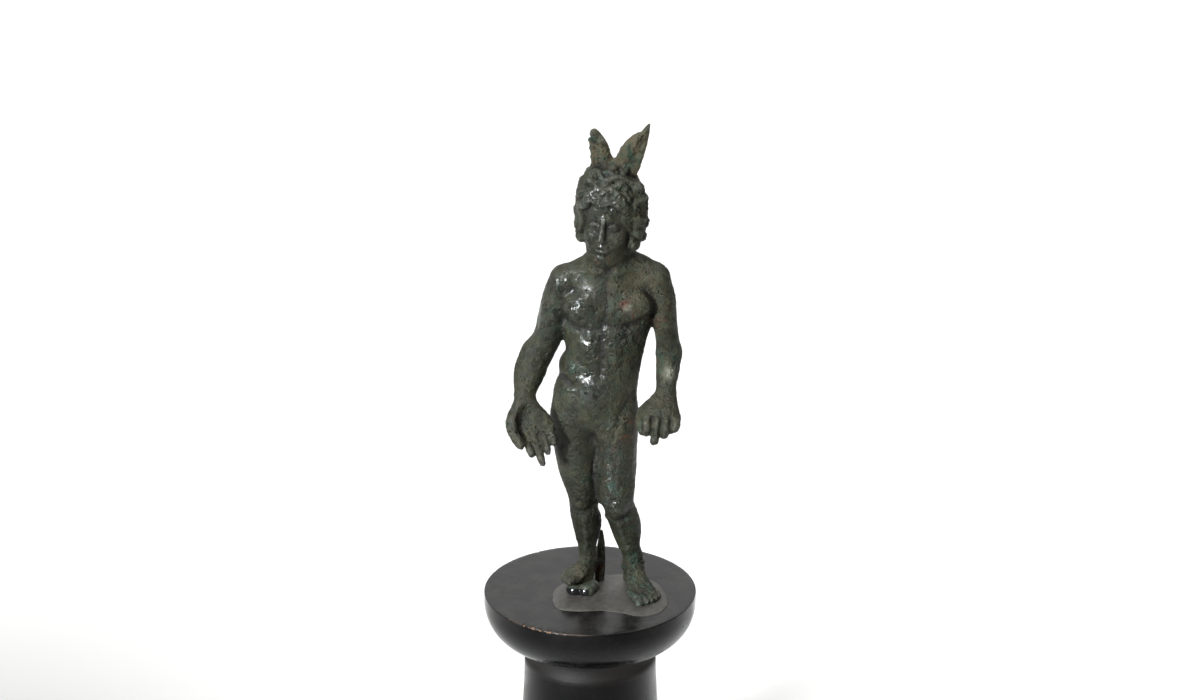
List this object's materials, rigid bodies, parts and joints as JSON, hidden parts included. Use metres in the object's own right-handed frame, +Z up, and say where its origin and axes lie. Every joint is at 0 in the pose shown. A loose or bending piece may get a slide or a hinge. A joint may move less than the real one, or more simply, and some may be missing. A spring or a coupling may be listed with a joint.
{
  "type": "winged-head bronze statuette on a turned socle",
  "caption": "Small cast bronze nude youth with a winged head and open and bent hands, standing on a turned black wooden socle with a thin wax film round the feet",
  "frame": {"origin": "centre of the socle's underside", "axes": "+Z up along the figure's height, the figure faces -Y, +X is to the right seen from the front"},
  "size_m": [0.048, 0.048, 0.1602],
  "materials": {
    "bronze": "dark green-brown patina",
    "black_wax": "glossy black",
    "wax_film": "matte, dusty",
    "black_wood": "ebonised and polished, chipped at the rim"
  },
  "bodies": {
    "root": {"figure": "bronze", "wax_lump": "black_wax", "mounting_wax": "wax_film", "socle": "black_wood"}
  },
  "joints": []
}
